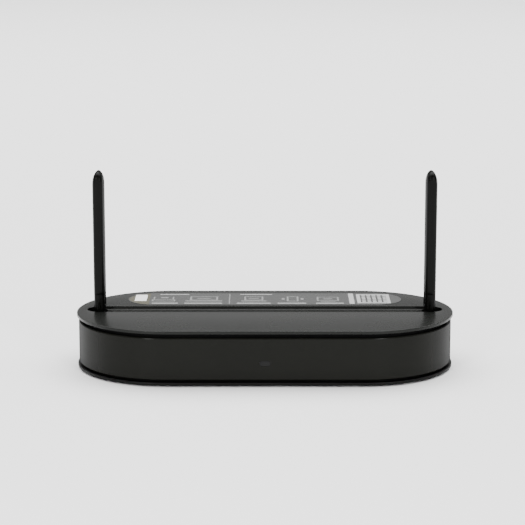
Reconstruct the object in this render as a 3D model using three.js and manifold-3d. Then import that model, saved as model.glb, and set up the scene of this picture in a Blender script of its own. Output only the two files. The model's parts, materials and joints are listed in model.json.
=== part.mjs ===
// A flat racetrack-shaped wireless router with two blade antennas that fold into a channel across its lid.
// Millimetres, +Z up. The origin is on the table under the middle of the case; the ports face +Y.
import * as THREE from 'three';
import { mergeVertices } from 'three/addons/utils/BufferGeometryUtils.js';
import Module from 'manifold-3d';

const wasm = await Module();
wasm.setup();

// ---- case ----
const caseLength = 250;
const caseDepth = 123;
const footHeight = 1.0;
const baseThickness = 1.85;
const lowerGap = 1.45;
const bandHeight = 27.9;
const upperGap = 2.6;
const lidThickness = 2.0;
const baseInset = 0.3;
const bandInset = 1.2;
const bandWall = 2.0;
const frameWall = 1.8;
const lidEdge = 0.6;
const bandEdge = 0.9;
const seatGap = 0.3;

// ---- antennas and the channel they fold into ----
const antennaEndMargin = 15.1;
const channelOffset = 3.8;
const antennaThickness = 7.65;
const antennaWidth = 15.9;
const antennaReach = 91.3;
const antennaTip = 8.7;
const antennaWall = 1.2;
const channelSide = 0.55;
const channelDepth = 2.5;
const channelWall = 1.6;
const wellDepth = 9.0;
const wellWall = 1.2;
const knuckleRadius = 3.9;
const knuckleHeight = 9.0;
const foldedGap = 0.7;
const tongueThickness = 4.8;
const tongueWidth = 4.4;
const washerThickness = 0.6;
const washerRadius = 3.4;
const pinRadius = 1.1;
const pinCover = 1.2;
const tenonHeight = 5;
const radiatorLength = 58;
const radiatorThickness = 0.8;
const sleeveShoulder = 5;
const sleeveBevel = 1.4;
const leadRadius = 0.65;
const leadHole = 1.0;
const leadGland = 2.2;

// ---- label ----
const labelEndMargin = 32;
const labelRearMargin = 9.6;
const labelFrontMargin = 3.9;
const labelThickness = 0.25;
const labelPocket = 0.5;
const stickerWidth = 8;
const stickerMargin = 8.35;
const stickerThickness = 0.15;
const stickerGap = 0.1;

// ---- board and ports ----
const boardThickness = 1.6;
const boardHeight = 8.0;
const boardEndMargin = 41;
const boardFrontMargin = 11.5;
const boardEdgeGap = 0.9;
const boardPostRadius = 3;
const jackWidth = 14.0;
const jackHeight = 13.2;
const jackLength = 18;
const jackPitch = 14.3;
const jackCount = 4;
const jackMouthWidth = 11.8;
const jackMouthHeight = 8.0;
const jackMouthDepth = 13.5;
const jackSill = 3.6;
const usbWidth = 13.6;
const usbHeight = 6.8;
const usbLength = 14;
const usbShell = 0.6;
const inletWidth = 9;
const inletHeight = 11;
const inletLength = 13.5;
const inletBore = 3.2;
const inletRise = 6.2;
const powerButtonRadius = 3.7;
const pairButtonRadius = 2.6;
const buttonRise = 5.3;
const buttonFlange = 0.9;
const flangeThickness = 1.9;
const powerProud = 1.0;
const pairProud = 0.5;
const portGap = 2.4;
const powerTravel = 2.0;
const pairTravel = 0.6;
const resetTravel = 0.5;
const panelMargin = 2.0;
const panelSill = 2.5;
const panelHead = 4.0;
const panelLap = 1.0;
const panelWall = 1.8;
const portSetBack = 0.2;

// ---- chips, shields and heat sink ----
const chipX = -4;
const chipY = -14;
const chipSize = 17;
const chipHeight = 1.4;
const padThickness = 0.8;
const sinkSize = 36;
const sinkBase = 2.5;
const sinkHeight = 13;
const finCount = 9;
const finThickness = 1.2;
const switchHeight = 2.2;

// ---- fasteners and feet ----
const footRadius = 6;
const footSeat = 0.5;
const screwRadius = 1.0;
const screwHeadRadius = 2.5;
const screwHeadHeight = 1.9;
const screwSink = 0.5;
const boardScrewHead = 1.6;
const driverSlot = 0.6;
const postRadius = 3.4;
const ribThickness = 1.6;
const ribHeight = 12;

// ---- openings in the base plate ----
const keyholeX = 55;
const keyholeRadius = 4.2;
const keySlot = 4.6;
const keyLength = 10;
const ventCount = 11;
const ventPitch = 6;
const ventWidth = 2.4;
const ventLength = 20;
const ventY = 14;
const resetX = 68;
const resetY = -20;
const resetRadius = 1.5;
const resetCollar = 0.9;

// ---- status window ----
const windowWidth = 7.2;
const windowHeight = 3.2;
const windowRise = 11.1;
const windowClearance = 0.2;
const lensSink = 0.15;

// ---- fineness of round outlines ----
const caseSegments = 12;
const barSides = 16;
const boreSides = 8;
const wellSides = 24;

// ---- worked-out levels and places ----
const halfLength = caseLength / 2;
const halfDepth = caseDepth / 2;
const straightHalf = halfLength - halfDepth;
const baseTop = footHeight + baseThickness;
const bandBottom = baseTop + lowerGap;
const bandTop = bandBottom + bandHeight;
const lidBottom = bandTop + upperGap;
const lidTop = lidBottom + lidThickness;
const frameInset = bandInset + bandWall + seatGap;
const frameInner = frameInset + frameWall;
const antennaX = halfLength - antennaEndMargin;
const channelFloor = lidTop - channelDepth;
const channelHalf = antennaWidth / 2 + channelSide;
const pivotZ = channelFloor + foldedGap + antennaThickness / 2;
const wellFloor = lidTop - wellDepth;
const holeRadius = pinRadius + seatGap;
const labelFront = channelOffset + channelHalf + labelFrontMargin;
const labelRear = halfDepth - labelRearMargin;
const labelHalfWidth = (labelRear - labelFront) / 2;
const labelY = (labelRear + labelFront) / 2;
const labelHalfLength = halfLength - labelEndMargin;
const boardTop = boardHeight + boardThickness;
const partSeat = boardTop + seatGap;
const boardHalf = halfLength - boardEndMargin;
const boardFront = -(halfDepth - boardFrontMargin);
const panelFace = halfDepth - frameInset + seatGap + panelWall;
const panelBack = panelFace - panelWall;
const panelBottom = bandBottom + panelSill;
const panelTop = bandTop - panelHead;
const portFace = panelFace - portSetBack;
const buttonHeight = partSeat + buttonRise;
const inletLevel = partSeat + inletRise;
const windowLevel = bandBottom + windowRise;
const stickerHalf = labelHalfWidth - stickerMargin;
const postX = halfLength - 28;
const postY = halfDepth - 31.5;
const footX = halfLength - 45;
const footY = halfDepth - 21.5;
const boardPostX = boardHalf - 6;
const boardPostFront = boardFront + 10;
const boardPostRear = halfDepth - 29;

// ---- shapes ----
function pill(halfX, radius) {
  const straight = halfX - radius;
  const shape = new THREE.Shape();
  shape.absarc(straight, 0, radius, -Math.PI / 2, Math.PI / 2, false);
  shape.absarc(-straight, 0, radius, Math.PI / 2, 1.5 * Math.PI, false);
  return shape;
}

function caseOutline(inset) {
  return pill(halfLength - inset, halfDepth - inset);
}

function roundedRectangle(halfX, halfY, corner) {
  const shape = new THREE.Shape();
  const x = halfX - corner;
  const y = halfY - corner;
  shape.absarc(x, -y, corner, -Math.PI / 2, 0, false);
  shape.absarc(x, y, corner, 0, Math.PI / 2, false);
  shape.absarc(-x, y, corner, Math.PI / 2, Math.PI, false);
  shape.absarc(-x, -y, corner, Math.PI, 1.5 * Math.PI, false);
  return shape;
}

// ---- solids ----
function solidOf(geometry) {
  const plain = geometry.clone();
  plain.deleteAttribute('normal');
  plain.deleteAttribute('uv');
  const merged = mergeVertices(plain, 1e-4);
  const vertProperties = Float32Array.from(merged.attributes.position.array);
  const triVerts = Uint32Array.from(merged.index.array);
  return new wasm.Manifold(new wasm.Mesh({ numProp: 3, vertProperties, triVerts }));
}

function geometryOf(solid) {
  const mesh = solid.getMesh();
  const geometry = new THREE.BufferGeometry();
  geometry.setAttribute('position', new THREE.BufferAttribute(Float32Array.from(mesh.vertProperties), 3));
  geometry.setIndex(new THREE.BufferAttribute(Uint32Array.from(mesh.triVerts), 1));
  return geometry;
}

// A flat slab of a shape between two heights, with its edges broken by `edge` when one is given.
function slab(shape, low, high, segments = 6, edge = 0) {
  const geometry = new THREE.ExtrudeGeometry(shape, {
    depth: high - low - 2 * edge,
    steps: 1,
    curveSegments: segments,
    bevelEnabled: edge > 0,
    bevelThickness: edge,
    bevelSize: edge,
    bevelOffset: -edge,
    bevelSegments: 1,
  });
  geometry.translate(0, 0, low + edge);
  return solidOf(geometry);
}

function block(x0, x1, y0, y1, z0, z1) {
  const geometry = new THREE.BoxGeometry(x1 - x0, y1 - y0, z1 - z0);
  geometry.translate((x0 + x1) / 2, (y0 + y1) / 2, (z0 + z1) / 2);
  return solidOf(geometry);
}

// An upright round bar.
function post(x, y, radius, low, high, sides = barSides) {
  const geometry = new THREE.CylinderGeometry(radius, radius, high - low, sides);
  geometry.rotateX(Math.PI / 2);
  geometry.translate(x, y, (low + high) / 2);
  return solidOf(geometry);
}

// A round bar that lies front to back.
function barAlongY(x, z, radius, front, rear, sides = barSides) {
  const geometry = new THREE.CylinderGeometry(radius, radius, rear - front, sides);
  geometry.translate(x, (front + rear) / 2, z);
  return solidOf(geometry);
}

// A slab whose outline is drawn in X and Z and which lies front to back.
function slabAlongY(shape, x, z, front, rear, segments = 6) {
  const geometry = new THREE.ExtrudeGeometry(shape, {
    depth: rear - front, steps: 1, curveSegments: segments, bevelEnabled: false,
  });
  geometry.rotateX(Math.PI / 2);
  geometry.translate(x, rear, z);
  return solidOf(geometry);
}

function join(first, ...rest) {
  return rest.reduce((sum, next) => sum.add(next), first);
}

function cut(first, ...rest) {
  return rest.reduce((sum, next) => sum.subtract(next), first);
}

function fourCorners(x, y) {
  return [[-x, -y], [x, -y], [-x, y], [x, y]];
}

// ---- finishes ----
function finish(color, roughness, metalness = 0) {
  return new THREE.MeshStandardMaterial({ color, roughness, metalness });
}

const satinPlastic = finish(0x2c2e2d, 0.42);
const bandPlastic = finish(0x161717, 0.3);
const innerPlastic = finish(0x0b0b0c, 0.6);
const basePlastic = finish(0x121313, 0.5);
const antennaPlastic = finish(0x0a0a0b, 0.22);
const labelFilm = finish(0x505453, 0.35);
const stickerPaper = finish(0xd9dad6, 0.6);
const rubber = finish(0x1a1a1b, 0.9);
const boardGreen = finish(0x14472c, 0.5);
const chipBlack = finish(0x17181a, 0.45);
const steel = finish(0xa9abad, 0.35, 1);
const brightMetal = finish(0xc4c6c8, 0.28, 1);
const aluminium = finish(0xb2b5b8, 0.4, 1);
const jackPlastic = finish(0x202123, 0.5);
const greyPad = finish(0x8f949a, 0.8);
const clearPlastic = finish(0xd7dde0, 0.2);
const smokedPlastic = finish(0x1d2022, 0.15);
const leadJacket = finish(0x3a3a3c, 0.5);
const buttonPlastic = finish(0x24262a, 0.45);

const router = new THREE.Group();

function addPiece(name, solid, material, parent = router) {
  const mesh = new THREE.Mesh(geometryOf(solid), material);
  mesh.name = name;
  parent.add(mesh);
  return mesh;
}

// ---- places of the ports along the rear, from the +X end ----
const portWidths = [
  ['power', 2 * powerButtonRadius + 0.6],
  ['inlet', inletWidth],
  ['usb', usbWidth],
  ['wan', jackWidth],
  ['lan', (jackCount - 1) * jackPitch + jackWidth],
  ['pair', 2 * pairButtonRadius + 0.8],
];
const portGaps = portGap * (portWidths.length - 1);
const portRowWidth = portWidths.reduce((sum, [, width]) => sum + width, portGaps);
const portX = {};
let portEdge = portRowWidth / 2;
for (const [name, width] of portWidths) {
  portX[name] = portEdge - width / 2;
  portEdge -= width + portGap;
}
const panelHalf = portRowWidth / 2 + panelMargin;

// ---- base plate ----
function makeBasePlate() {
  let plate = slab(caseOutline(baseInset), footHeight, baseTop, caseSegments, 0.35);
  const holes = [];
  for (const [x, y] of fourCorners(postX, postY)) {
    plate = plate.add(post(x, y, 4.6, baseTop - 0.5, baseTop + 2.8));
    holes.push(post(x, y, screwHeadRadius + seatGap, footHeight - 1, baseTop + 1.0));
    holes.push(post(x, y, screwRadius + seatGap, footHeight - 1, baseTop + 4, boreSides));
  }
  for (const y of [boardPostFront, boardPostRear]) {
    for (const x of [-boardPostX, boardPostX]) {
      plate = plate.add(post(x, y, boardPostRadius, baseTop - 0.5, boardHeight - seatGap));
      holes.push(post(x, y, screwRadius + seatGap, baseTop, boardHeight + 1, boreSides));
    }
  }
  plate = plate.add(post(resetX, resetY, resetRadius + 1.9, baseTop - 0.5, baseTop + resetCollar));
  holes.push(post(resetX, resetY, resetRadius + seatGap, 0, baseTop + 3));
  for (const [x, y] of fourCorners(footX, footY)) {
    holes.push(post(x, y, footRadius + seatGap, 0, footHeight + footSeat + seatGap));
  }
  for (const side of [-1, 1]) {
    holes.push(post(side * keyholeX, 0, keyholeRadius, 0, baseTop + 1));
    const slot = block(-keySlot / 2, keySlot / 2, 0, keyLength, 0, baseTop + 1);
    holes.push(slot.translate([side * keyholeX, 0, 0]));
  }
  for (let row = 0; row < ventCount; row += 1) {
    const x = (row - (ventCount - 1) / 2) * ventPitch;
    for (const y of [-ventY, ventY]) {
      const slot = block(-ventWidth / 2, ventWidth / 2, -ventLength / 2, ventLength / 2, 0, baseTop + 1);
      holes.push(slot.translate([x, y, 0]));
    }
  }
  addPiece('base_plate', cut(plate, ...holes), basePlastic);
}

function makeFeet() {
  fourCorners(footX, footY).forEach(([x, y], index) => {
    addPiece(`foot_${index + 1}`, post(x, y, footRadius, 0, footHeight + footSeat, barSides), rubber);
  });
}

// The hole that the status window's lens passes through, in the band and in the frame behind it.
function windowHole() {
  const shape = pill(windowWidth / 2 + windowClearance, windowHeight / 2 + windowClearance);
  return slabAlongY(shape, 0, windowLevel, -halfDepth, 0);
}

// ---- chassis frame: the inner wall that shows in the two shadow gaps ----
function makeFrame() {
  const low = baseTop + seatGap;
  const high = lidBottom - seatGap;
  let frame = slab(caseOutline(frameInset), low, high, caseSegments);
  frame = frame.subtract(slab(caseOutline(frameInner), low - 1, high + 1, caseSegments));
  const holes = [];
  for (const [x, y] of fourCorners(postX, postY)) {
    const side = Math.sign(x);
    const dx = x - side * straightHalf;
    const wallRadius = halfDepth - frameInset - frameWall / 2;
    const reach = wallRadius - Math.hypot(dx, y);
    const rib = new THREE.BoxGeometry(reach, ribThickness, ribHeight);
    rib.translate(Math.hypot(dx, y) + reach / 2, 0, baseTop + 11);
    rib.rotateZ(Math.atan2(y, dx));
    rib.translate(side * straightHalf, 0, 0);
    frame = join(frame, solidOf(rib), post(x, y, postRadius, baseTop + 3.1, baseTop + 18));
    holes.push(post(x, y, screwRadius + seatGap, baseTop + 2, baseTop + 14, boreSides));
  }
  const openingTop = Math.max(panelTop - panelLap, partSeat + jackHeight + seatGap);
  const openingHalf = panelHalf - panelLap;
  holes.push(block(-openingHalf, openingHalf, 0, halfDepth, panelBottom + panelLap, openingTop));
  holes.push(windowHole());
  for (const side of [-1, 1]) {
    const wellOuter = channelHalf + wellWall + seatGap;
    const wellUnder = wellFloor - wellWall - seatGap;
    holes.push(post(side * antennaX, channelOffset, wellOuter, wellUnder, lidTop, wellSides));
  }
  addPiece('chassis_frame', cut(frame, ...holes), innerPlastic);
}

// ---- side band ----
function makeBand() {
  const outer = slab(caseOutline(bandInset), bandBottom, bandTop, caseSegments, bandEdge);
  const inner = slab(caseOutline(bandInset + bandWall), bandBottom - 1, bandTop + 1, caseSegments);
  const opening = block(
    -panelHalf - seatGap, panelHalf + seatGap, 0, halfDepth, panelBottom - seatGap, panelTop + seatGap,
  );
  addPiece('side_band', cut(outer, inner, opening, windowHole()), bandPlastic);
}

// ---- rear port panel ----
function makePanel() {
  const outer = slab(caseOutline(halfDepth - panelFace), panelBottom, panelTop, caseSegments);
  const inner = slab(caseOutline(halfDepth - panelBack), panelBottom - 1, panelTop + 1, caseSegments);
  const reach = block(-panelHalf, panelHalf, 0, halfDepth, panelBottom, panelTop);
  const jackTop = partSeat + jackHeight + seatGap;
  const jackLow = boardTop;
  const lanHalf = ((jackCount - 1) * jackPitch + jackWidth) / 2 + seatGap;
  const wanHalf = jackWidth / 2 + seatGap;
  const usbHalf = usbWidth / 2 + seatGap;
  const through = [panelBack - 2, panelFace + 2];
  const holes = [
    block(portX.lan - lanHalf, portX.lan + lanHalf, ...through, jackLow, jackTop),
    block(portX.wan - wanHalf, portX.wan + wanHalf, ...through, jackLow, jackTop),
    block(portX.usb - usbHalf, portX.usb + usbHalf, ...through, jackLow, partSeat + usbHeight + seatGap),
    barAlongY(portX.inlet, inletLevel, inletBore + 0.9, ...through),
    barAlongY(portX.power, buttonHeight, powerButtonRadius + seatGap, ...through),
    barAlongY(portX.pair, buttonHeight, pairButtonRadius + seatGap, ...through),
  ];
  addPiece('port_panel', cut(outer.subtract(inner).intersect(reach), ...holes), basePlastic);
}

// ---- lid with its channel, wells and label pocket ----
function makeLid() {
  const underLid = lidBottom + lidEdge + 0.2;
  let lid = slab(caseOutline(0), lidBottom, lidTop, caseSegments, lidEdge);
  const skirt = slab(caseOutline(frameInner + seatGap), lidBottom - 3, underLid, caseSegments)
    .subtract(slab(caseOutline(frameInner + seatGap + 1.4), lidBottom - 4, underLid - 0.1, caseSegments));
  const channelShape = pill(antennaX + channelHalf, channelHalf);
  const troughShape = pill(antennaX + channelHalf - 1, channelHalf + channelWall);
  const trough = slab(troughShape, channelFloor - channelWall, underLid, 8);
  lid = join(lid, skirt, trough.translate([0, channelOffset, 0]));
  const wells = [];
  for (const side of [-1, 1]) {
    const outer = channelHalf + wellWall;
    lid = lid.add(post(side * antennaX, channelOffset, outer, wellFloor - wellWall, underLid, wellSides));
    wells.push(post(side * antennaX, channelOffset, channelHalf, wellFloor, lidTop + 1, wellSides));
    wells.push(post(side * antennaX, channelOffset, leadGland, wellFloor - 3, lidTop, boreSides));
  }
  const channel = slab(channelShape, channelFloor, lidTop + 1, 8).translate([0, channelOffset, 0]);
  const pocketShape = pill(labelHalfLength + seatGap, labelHalfWidth + seatGap);
  const pocket = slab(pocketShape, lidTop - labelPocket, lidTop + 1, 12);
  addPiece('lid', cut(lid, ...wells, channel, pocket.translate([0, labelY, 0])), satinPlastic);
}

function makeLabel() {
  const low = lidTop - labelPocket + seatGap;
  const sheet = slab(pill(labelHalfLength, labelHalfWidth), low, low + labelThickness, 12);
  addPiece('setup_label', sheet.translate([0, labelY, 0]), labelFilm);
  const stickerLow = low + labelThickness + stickerGap;
  const stickerShape = roundedRectangle(stickerWidth / 2, stickerHalf, 0.8);
  const sticker = slab(stickerShape, stickerLow, stickerLow + stickerThickness, 3);
  addPiece('key_sticker', sticker.translate([-labelHalfLength + 8.5, labelY + 3, 0]), stickerPaper);
}

// ---- antennas ----
// Each stands in a well of the lid on a bracket, whose shelf carries on the channel's floor at the inner side.
// The sleeve is the common part of two outlines: a bullet seen from the front and a round-shouldered
// blade seen from the side.
function antennaSleeve(low) {
  const half = antennaThickness / 2;
  const halfWidth = antennaWidth / 2;
  const top = antennaReach;
  const front = new THREE.Shape();
  front.absellipse(0, top - antennaTip, half, antennaTip, 0, Math.PI, false);
  front.lineTo(-half, low);
  front.lineTo(half, low);
  const bevelSize = sleeveBevel * 0.8;
  const body = new THREE.ExtrudeGeometry(front, {
    depth: antennaWidth - 2 * sleeveBevel,
    steps: 1,
    curveSegments: 8,
    bevelEnabled: true,
    bevelThickness: sleeveBevel,
    bevelSize,
    bevelOffset: -bevelSize,
    bevelSegments: 3,
  });
  body.rotateX(Math.PI / 2);
  body.translate(0, halfWidth - sleeveBevel, 0);
  const shoulder = sleeveShoulder;
  const side = new THREE.Shape();
  side.absarc(halfWidth - shoulder, top - shoulder, shoulder, 0, Math.PI / 2, false);
  side.absarc(-halfWidth + shoulder, top - shoulder, shoulder, Math.PI / 2, Math.PI, false);
  side.lineTo(-halfWidth, low - 2);
  side.lineTo(halfWidth, low - 2);
  const blade = new THREE.ExtrudeGeometry(side, {
    depth: antennaThickness + 4, steps: 1, curveSegments: 6, bevelEnabled: false,
  });
  blade.rotateX(Math.PI / 2);
  blade.rotateZ(Math.PI / 2);
  blade.translate(-half - 2, 0, 0);
  return solidOf(body).intersect(solidOf(blade));
}

function makeAntenna(sideName, side) {
  const assembly = new THREE.Group();
  assembly.position.set(side * antennaX, channelOffset, pivotZ);
  router.add(assembly);
  const half = antennaThickness / 2;
  const halfWidth = antennaWidth / 2;
  const cheek = tongueThickness / 2 + 2 * seatGap + washerThickness;
  const sleeveLow = knuckleHeight + seatGap;
  const hollowHalf = half - antennaWall;
  const hollowWidth = halfWidth - antennaWall;
  const hollowTop = antennaReach - antennaTip - 1;
  const hollow = slab(roundedRectangle(hollowHalf, hollowWidth, 0.8), sleeveLow - 3, hollowTop, 3);
  const below = block(-half - 1, half + 1, -halfWidth - 1, halfWidth + 1, sleeveLow - 9, sleeveLow);
  const sleeve = cut(antennaSleeve(sleeveLow - 2), below, hollow);
  addPiece(`antenna_sleeve_${sideName}`, sleeve, antennaPlastic, assembly);

  const tenonTop = knuckleHeight + tenonHeight;
  const ball = solidOf(new THREE.SphereGeometry(channelHalf - seatGap, 16, 10));
  const tenonHalf = hollowHalf - seatGap;
  const knuckleBody = join(
    barAlongY(0, 0, knuckleRadius, -halfWidth, halfWidth, wellSides).intersect(ball),
    slab(roundedRectangle(knuckleRadius, halfWidth, 1.1), 0, knuckleHeight, 3),
    slab(roundedRectangle(tenonHalf, hollowWidth - seatGap, 0.6), knuckleHeight - 1, tenonTop, 2),
  );
  const fork = barAlongY(0, 0, knuckleRadius + 0.6, -cheek, cheek, wellSides);
  const pinHole = barAlongY(0, 0, holeRadius, -halfWidth + pinCover, halfWidth - pinCover);
  const leadBore = post(0, 0, leadHole, 0, tenonTop + 1, boreSides);
  const belowFork = block(-knuckleRadius - 1, knuckleRadius + 1, -cheek, cheek, -knuckleRadius - 1, 0.1);
  const knuckle = cut(knuckleBody, fork, belowFork, pinHole, leadBore);
  addPiece(`antenna_knuckle_${sideName}`, knuckle, antennaPlastic, assembly);

  const pinReach = halfWidth - pinCover - seatGap;
  const pin = barAlongY(0, 0, pinRadius, -pinReach, pinReach);
  addPiece(`hinge_pin_${sideName}`, pin, steel, assembly);

  const boardLow = tenonTop + 0.6;
  const radiatorShape = roundedRectangle(radiatorThickness / 2, hollowWidth - 0.6, 0.3);
  const radiator = slab(radiatorShape, boardLow, boardLow + radiatorLength, 2);
  addPiece(`antenna_board_${sideName}`, radiator, boardGreen, assembly);

  const bracketFloor = wellFloor + seatGap - pivotZ;
  const tongueHalf = tongueThickness / 2;
  const discRadius = channelHalf - seatGap * 2;
  const shelfTop = channelFloor - pivotZ;
  const shelfNear = knuckleRadius + 2 * seatGap;
  const shelf = post(0, 0, discRadius, bracketFloor, shelfTop, wellSides)
    .intersect(block(shelfNear, channelHalf, -channelHalf, channelHalf, bracketFloor, shelfTop));
  const tongue = join(
    post(0, 0, discRadius, bracketFloor, bracketFloor + 1.6, wellSides),
    side < 0 ? shelf : shelf.rotate([0, 0, 180]),
    block(-tongueWidth / 2, tongueWidth / 2, -tongueHalf, tongueHalf, bracketFloor + 0.5, 0),
    barAlongY(0, 0, knuckleRadius - 0.6, -tongueHalf, tongueHalf),
  );
  const tongueHole = barAlongY(0, 0, holeRadius, -tongueHalf - 1, tongueHalf + 1);
  const leadWay = post(0, 0, leadHole, bracketFloor - 1, bracketFloor + 3, boreSides);
  addPiece(`hinge_bracket_${sideName}`, cut(tongue, tongueHole, leadWay), innerPlastic, assembly);

  for (const [place, direction] of [['front', -1], ['rear', 1]]) {
    const near = direction * (tongueHalf + seatGap);
    const far = near + direction * washerThickness;
    const washer = barAlongY(0, 0, washerRadius, Math.min(near, far), Math.max(near, far))
      .subtract(barAlongY(0, 0, holeRadius, -halfWidth, halfWidth));
    addPiece(`hinge_washer_${sideName}_${place}`, washer, steel, assembly);
  }
}

// The lead from the board up into the foot of the antenna's bracket.
function makeLead(sideName, side) {
  const startX = side * (boardHalf - 8);
  const underWell = wellFloor - wellWall;
  const path = new THREE.CatmullRomCurve3([
    new THREE.Vector3(startX, -4, partSeat + 1.2),
    new THREE.Vector3(startX + side * 6, -4, partSeat + 2.0),
    new THREE.Vector3(startX + side * 14, -2.5, partSeat + 3.5),
    new THREE.Vector3(side * (antennaX - 12), -0.5, partSeat + 3),
    new THREE.Vector3(side * (antennaX - 3), channelOffset - 0.4, partSeat + 7),
    new THREE.Vector3(side * antennaX, channelOffset, underWell - 5),
    new THREE.Vector3(side * antennaX, channelOffset, underWell + 0.6),
  ]);
  const tube = new THREE.ExtrudeGeometry(pill(leadRadius, leadRadius), {
    steps: 16, curveSegments: 2, bevelEnabled: false, extrudePath: path,
  });
  addPiece(`antenna_lead_${sideName}`, solidOf(tube), leadJacket);
}

// ---- circuit board and what stands on it ----
function makeBoard() {
  const shape = caseOutline(frameInner + boardEdgeGap);
  const reach = block(-boardHalf, boardHalf, boardFront, halfDepth, boardHeight - 1, boardTop + 1);
  const holes = [];
  for (const y of [boardPostFront, boardPostRear]) {
    for (const x of [-boardPostX, boardPostX]) {
      holes.push(post(x, y, screwRadius + seatGap, boardHeight - 1, boardTop + 1, boreSides));
    }
  }
  const board = slab(shape, boardHeight, boardTop, 12).intersect(reach);
  addPiece('main_board', cut(board, ...holes), boardGreen);
}

function screw(x, y, headLow, headHigh, tip) {
  const head = post(x, y, screwHeadRadius, headLow, headHigh);
  const shank = post(x, y, screwRadius, Math.min(tip, headLow), Math.max(tip, headHigh - 0.2), boreSides);
  const headTop = tip < headLow ? headHigh : headLow;
  const slotLow = headTop - 0.5;
  const slotHalf = driverSlot / 2;
  const slots = [
    block(x - 1.5, x + 1.5, y - slotHalf, y + slotHalf, slotLow, slotLow + 1),
    block(x - slotHalf, x + slotHalf, y - 1.5, y + 1.5, slotLow, slotLow + 1),
  ];
  return cut(join(head, shank), ...slots);
}

function makeScrews() {
  fourCorners(postX, postY).forEach(([x, y], index) => {
    const low = footHeight + screwSink;
    addPiece(`case_screw_${index + 1}`, screw(x, y, low, low + screwHeadHeight, baseTop + 13), steel);
  });
  let index = 0;
  for (const y of [boardPostFront, boardPostRear]) {
    for (const x of [-boardPostX, boardPostX]) {
      index += 1;
      const solid = screw(x, y, partSeat, partSeat + boardScrewHead, baseTop + 0.6);
      addPiece(`board_screw_${index}`, solid, steel);
    }
  }
}

function chip(name, x, y, width, depth, height, material) {
  const shape = roundedRectangle(width / 2, depth / 2, 0.5);
  addPiece(name, slab(shape, partSeat, partSeat + height, 2).translate([x, y, 0]), material);
}

function makeElectronics() {
  chip('processor', chipX, chipY, chipSize, chipSize, chipHeight, chipBlack);
  const padLow = partSeat + chipHeight + seatGap;
  const padHalf = chipSize / 2;
  const pad = block(-padHalf, padHalf, -padHalf, padHalf, padLow, padLow + padThickness);
  addPiece('thermal_pad', pad.translate([chipX, chipY, 0]), greyPad);
  const sinkLow = padLow + padThickness + seatGap;
  const half = sinkSize / 2;
  let sink = block(chipX - half, chipX + half, chipY - half, chipY + half, sinkLow, sinkLow + sinkBase);
  const finPitch = (sinkSize - finThickness) / (finCount - 1);
  for (let fin = 0; fin < finCount; fin += 1) {
    const left = chipX - half + fin * finPitch;
    const right = left + finThickness;
    sink = sink.add(block(left, right, chipY - half, chipY + half, sinkLow + 1, sinkLow + sinkHeight));
  }
  addPiece('heat_sink', sink, aluminium);
  chip('memory_chip', chipX - 30, chipY + 2, 11, 13, 1.2, chipBlack);
  chip('flash_chip', chipX + 28, chipY - 8, 8, 6, 1.2, chipBlack);
  chip('transformer_block', portX.lan, halfDepth - 31.5, 44, 9, 5, chipBlack);
  for (const [sideName, side] of [['left', -1], ['right', 1]]) {
    chip(`wifi_shield_${sideName}`, side * (boardHalf - 25), -2, 22, 18, 3, brightMetal);
  }
  const smoother = post(portX.inlet + 2, halfDepth - 27, 4, partSeat, partSeat + 11);
  addPiece('smoothing_capacitor', smoother, chipBlack);
}

// ---- sockets: each faces +Y and stands on the board ----
function networkJack(name, x) {
  const half = jackWidth / 2;
  const rear = portFace;
  const front = rear - jackLength;
  const body = block(x - half, x + half, front, rear, partSeat, partSeat + jackHeight);
  const mouthLow = partSeat + jackSill;
  const mouthHalf = jackMouthWidth / 2;
  const mouthEnd = rear - jackMouthDepth;
  const mouthTop = mouthLow + jackMouthHeight;
  const mouth = block(x - mouthHalf, x + mouthHalf, mouthEnd, rear + 1, mouthLow, mouthTop);
  const latch = block(x - 3.2, x + 3.2, mouthEnd, rear + 1, mouthLow - 1.4, mouthLow + 0.1);
  const key = block(x - 1.8, x + 1.8, mouthEnd, rear + 1, mouthLow - 2.6, mouthLow - 1.3);
  addPiece(name, cut(body, mouth, latch, key), jackPlastic);
}

function makeSockets() {
  networkJack('wan_jack', portX.wan);
  for (let index = 0; index < jackCount; index += 1) {
    networkJack(`lan_jack_${index + 1}`, portX.lan + ((jackCount - 1) / 2 - index) * jackPitch);
  }
  const rear = portFace;
  const half = usbWidth / 2;
  const usbTop = partSeat + usbHeight;
  const shell = block(portX.usb - half, portX.usb + half, rear - usbLength, rear, partSeat, usbTop);
  const mouthHalf = half - usbShell;
  const mouth = block(-mouthHalf, mouthHalf, rear - usbLength + 2, rear + 1, partSeat + 0.8, usbTop - 0.8)
    .translate([portX.usb, 0, 0]);
  const tongue = block(
    portX.usb - 5.5, portX.usb + 5.5, rear - usbLength + 1.5, rear - 1.2, usbTop - 2.9, usbTop - 1.1,
  );
  addPiece('usb_port', shell.subtract(mouth).add(tongue), brightMetal);

  const inletHalf = inletWidth / 2;
  const inletFront = rear - inletLength;
  const inletTop = partSeat + inletHeight;
  const inletBody = block(-inletHalf, inletHalf, inletFront, panelBack - seatGap, partSeat, inletTop)
    .translate([portX.inlet, 0, 0]);
  const nose = barAlongY(portX.inlet, inletLevel, inletBore + 0.6, inletFront + 2, rear);
  const bore = barAlongY(portX.inlet, inletLevel, inletBore, inletFront + 4, rear + 1);
  const centrePin = barAlongY(portX.inlet, inletLevel, 1.0, inletFront + 1, rear - 1.5, boreSides);
  addPiece('power_inlet', join(inletBody, nose).subtract(bore).add(centrePin), chipBlack);
}

// ---- buttons and the switches behind them ----
const flangeFront = panelBack - seatGap - flangeThickness;

function pushButton(name, x, radius, proud) {
  const cap = barAlongY(x, buttonHeight, radius, flangeFront + 0.2, panelFace + proud);
  const flangeRear = flangeFront + flangeThickness;
  const flange = barAlongY(x, buttonHeight, radius + buttonFlange, flangeFront, flangeRear);
  addPiece(name, join(cap, flange), buttonPlastic);
}

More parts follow.
